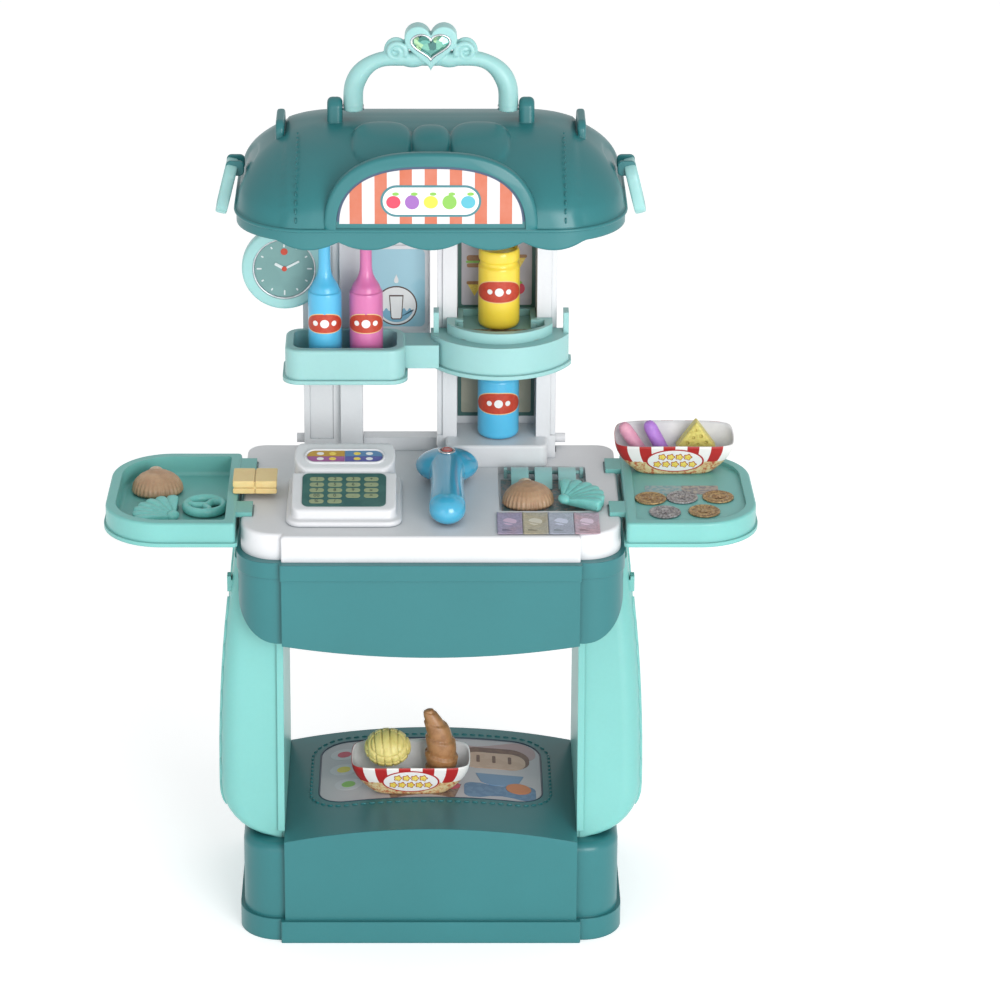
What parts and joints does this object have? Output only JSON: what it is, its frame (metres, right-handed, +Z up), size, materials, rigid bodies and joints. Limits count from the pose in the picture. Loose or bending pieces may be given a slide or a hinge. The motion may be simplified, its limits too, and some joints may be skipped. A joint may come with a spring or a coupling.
{
  "type": "toy kitchen",
  "caption": "Tall pretend-play kitchen and shop stand with a carry handle canopy, shelf, counter, scanner, side trays and play food.",
  "frame": {"origin": "centre of the footprint box on the floor", "axes": "+Z up, front faces -Y, +X to the right seen from the front"},
  "size_m": [0.478, 0.203, 0.678],
  "materials": {
    "teal": "satin moulded teal ABS",
    "mint": "satin moulded mint ABS",
    "white": "satin moulded white ABS",
    "hidden_plastic": "dark moulded plastic",
    "rubber": "soft pad",
    "steel": "plated steel",
    "print": "printed laminated sticker",
    "gem": "faceted foil gem",
    "coin": "printed play coin",
    "sky_blue": "glossy",
    "red": "glossy",
    "board": "circuit board",
    "pink": "satin",
    "purple": "satin",
    "yellow": "satin",
    "brown": "satin",
    "card": "printed card"
  },
  "bodies": {
    "cabinet": {"base_shell": "teal", "base_floor_plate": "hidden_plastic", "base_feet": "rubber", "base_picture_panel": "print", "left_leg_shell": "mint", "right_leg_shell": "mint", "left_leg_inner_panel": "mint", "right_leg_inner_panel": "mint", "counter_case": "teal", "counter_top": "white", "base_screws": "steel", "register_housing": "white", "register_keypad_label": "print", "cash_recess_label": "print", "cash_clip_rod": "mint"},
    "uprights": {"left_upright": "white", "right_upright": "white", "upright_crossbar": "white", "back_picture_panel": "print", "picture_card": "print", "upper_shelf": "mint", "round_sign_frame": "mint"},
    "canopy": {"canopy_shell": "teal", "canopy_inner_plate": "hidden_plastic", "canopy_window_panel": "print", "handle_pins": "steel"},
    "handle": {"handle": "mint", "handle_gem": "gem"},
    "left_ring": {"left_strap_ring": "mint"},
    "right_ring": {"right_strap_ring": "mint"},
    "left_wing": {"left_wing_tray": "mint"},
    "right_wing": {"right_wing_tray": "mint"},
    "coins": {"play_coins": "coin"},
    "scanner": {"scanner_lower_shell": "sky_blue", "scanner_upper_shell": "sky_blue", "scanner_board": "board", "scanner_cells": "steel"},
    "trigger": {"scanner_button": "red"},
    "clip_left": {"cash_clip_left": "mint"},
    "clip_middle": {"cash_clip_middle": "mint"},
    "clip_right": {"cash_clip_right": "mint"},
    "blue_bottle_body": {"blue_bottle": "sky_blue"},
    "pink_bottle_body": {"pink_bottle": "pink"},
    "yellow_can_body": {"yellow_can": "yellow"},
    "tray_snack_box_body": {"tray_snack_box": "card"},
    "pink_stick_body": {"pink_stick": "pink"},
    "purple_stick_body": {"purple_stick": "purple"},
    "cheese_wedge_body": {"cheese_wedge": "yellow"},
    "base_snack_box_body": {"base_snack_box": "card"},
    "melon_bun_body": {"melon_bun": "yellow"},
    "croissant_body": {"croissant": "brown"},
    "wafer_block_body": {"wafer_block": "yellow"},
    "tray_clam_body": {"tray_clam": "brown"},
    "tray_scallop_body": {"tray_scallop": "mint"},
    "pretzel_wheel_body": {"pretzel_wheel": "mint"},
    "counter_clam_body": {"counter_clam": "brown"},
    "counter_scallop_body": {"counter_scallop": "mint"},
    "play_banknotes_body": {"play_banknotes": "print"},
    "blue_can_body": {"blue_can": "sky_blue"}
  },
  "joints": [
    {"name": "uprights_lift_out", "type": "slide", "parent": "cabinet", "child": "uprights", "axis": [0, 0, 1], "range_m": [0, 0.02]},
    {"name": "canopy_lift_off", "type": "slide", "parent": "uprights", "child": "canopy", "axis": [0, 0, 1], "range_m": [0, 0.03]},
    {"name": "handle_swing", "type": "hinge", "parent": "canopy", "child": "handle", "pos_m": [0, 0, 0.616], "axis": [1, 0, 0], "range_deg": [-75, 75]},
    {"name": "left_ring_swing", "type": "hinge", "parent": "canopy", "child": "left_ring", "pos_m": [-0.142, 0, 0.573], "axis": [0, 1, 0], "range_deg": [0, 60]},
    {"name": "right_ring_swing", "type": "hinge", "parent": "canopy", "child": "right_ring", "pos_m": [0.142, 0, 0.573], "axis": [0, -1, 0], "range_deg": [0, 60]},
    {"name": "left_wing_lift_off", "type": "slide", "parent": "cabinet", "child": "left_wing", "axis": [0, 0, 1], "range_m": [0, 0.03]},
    {"name": "right_wing_lift_off", "type": "slide", "parent": "cabinet", "child": "right_wing", "axis": [0, 0, 1], "range_m": [0, 0.03]},
    {"name": "coins_lift", "type": "slide", "parent": "right_wing", "child": "coins", "axis": [0, 0, 1], "range_m": [0, 0.015]},
    {"name": "scanner_lift", "type": "slide", "parent": "cabinet", "child": "scanner", "axis": [0, 0, 1], "range_m": [0, 0.03]},
    {"name": "scanner_button_press", "type": "slide", "parent": "scanner", "child": "trigger", "axis": [0, 0, -1], "range_m": [0, 0.0012], "stiffness_N_per_m": 200, "springref_m": -0.001},
    {"name": "cash_clip_left_lift", "type": "hinge", "parent": "cabinet", "child": "clip_left", "pos_m": [0.066, 0.044, 0.3185], "axis": [-1, 0, 0], "range_deg": [0, 45]},
    {"name": "cash_clip_middle_lift", "type": "hinge", "parent": "cabinet", "child": "clip_middle", "pos_m": [0.0835, 0.044, 0.3185], "axis": [-1, 0, 0], "range_deg": [0, 45]},
    {"name": "cash_clip_right_lift", "type": "hinge", "parent": "cabinet", "child": "clip_right", "pos_m": [0.101, 0.044, 0.3185], "axis": [-1, 0, 0], "range_deg": [0, 45]},
    {"name": "blue_bottle_lift", "type": "slide", "parent": "uprights", "child": "blue_bottle_body", "axis": [0, 0, 1], "range_m": [0, 0.03]},
    {"name": "pink_bottle_lift", "type": "slide", "parent": "uprights", "child": "pink_bottle_body", "axis": [0, 0, 1], "range_m": [0, 0.03]},
    {"name": "yellow_can_lift", "type": "slide", "parent": "uprights", "child": "yellow_can_body", "axis": [0, 0, 1], "range_m": [0, 0.03]},
    {"name": "tray_snack_box_lift", "type": "slide", "parent": "right_wing", "child": "tray_snack_box_body", "axis": [0, 0, 1], "range_m": [0, 0.02]},
    {"name": "pink_stick_lift", "type": "slide", "parent": "tray_snack_box_body", "child": "pink_stick_body", "axis": [-0.5446, 0, 0.8387], "range_m": [0, 0.03]},
    {"name": "purple_stick_lift", "type": "slide", "parent": "tray_snack_box_body", "child": "purple_stick_body", "axis": [-0.454, 0, 0.891], "range_m": [0, 0.03]},
    {"name": "cheese_wedge_lift", "type": "slide", "parent": "tray_snack_box_body", "child": "cheese_wedge_body", "axis": [0, 0, 1], "range_m": [0, 0.03]},
    {"name": "base_snack_box_lift", "type": "slide", "parent": "cabinet", "child": "base_snack_box_body", "axis": [0, 0, 1], "range_m": [0, 0.025]},
    {"name": "melon_bun_lift", "type": "slide", "parent": "base_snack_box_body", "child": "melon_bun_body", "axis": [0, 0, 1], "range_m": [0, 0.025]},
    {"name": "croissant_lift", "type": "slide", "parent": "base_snack_box_body", "child": "croissant_body", "axis": [0, 0, 1], "range_m": [0, 0.025]},
    {"name": "wafer_block_lift", "type": "slide", "parent": "left_wing", "child": "wafer_block_body", "axis": [0, 0, 1], "range_m": [0, 0.02]},
    {"name": "tray_clam_lift", "type": "slide", "parent": "left_wing", "child": "tray_clam_body", "axis": [0, 0, 1], "range_m": [0, 0.025]},
    {"name": "tray_scallop_lift", "type": "slide", "parent": "left_wing", "child": "tray_scallop_body", "axis": [0, 0, 1], "range_m": [0, 0.025]},
    {"name": "pretzel_wheel_lift", "type": "slide", "parent": "left_wing", "child": "pretzel_wheel_body", "axis": [0, 0, 1], "range_m": [0, 0.025]},
    {"name": "counter_clam_lift", "type": "slide", "parent": "cabinet", "child": "counter_clam_body", "axis": [0, 0, 1], "range_m": [0, 0.025]},
    {"name": "counter_scallop_lift", "type": "slide", "parent": "cabinet", "child": "counter_scallop_body", "axis": [0, 0, 1], "range_m": [0, 0.025]},
    {"name": "play_banknotes_lift", "type": "slide", "parent": "cabinet", "child": "play_banknotes_body", "axis": [0, 0, 1], "range_m": [0, 0.012]},
    {"name": "blue_can_slide_out", "type": "slide", "parent": "uprights", "child": "blue_can_body", "axis": [0.287, -0.9579, 0], "range_m": [0, 0.028]}
  ]
}
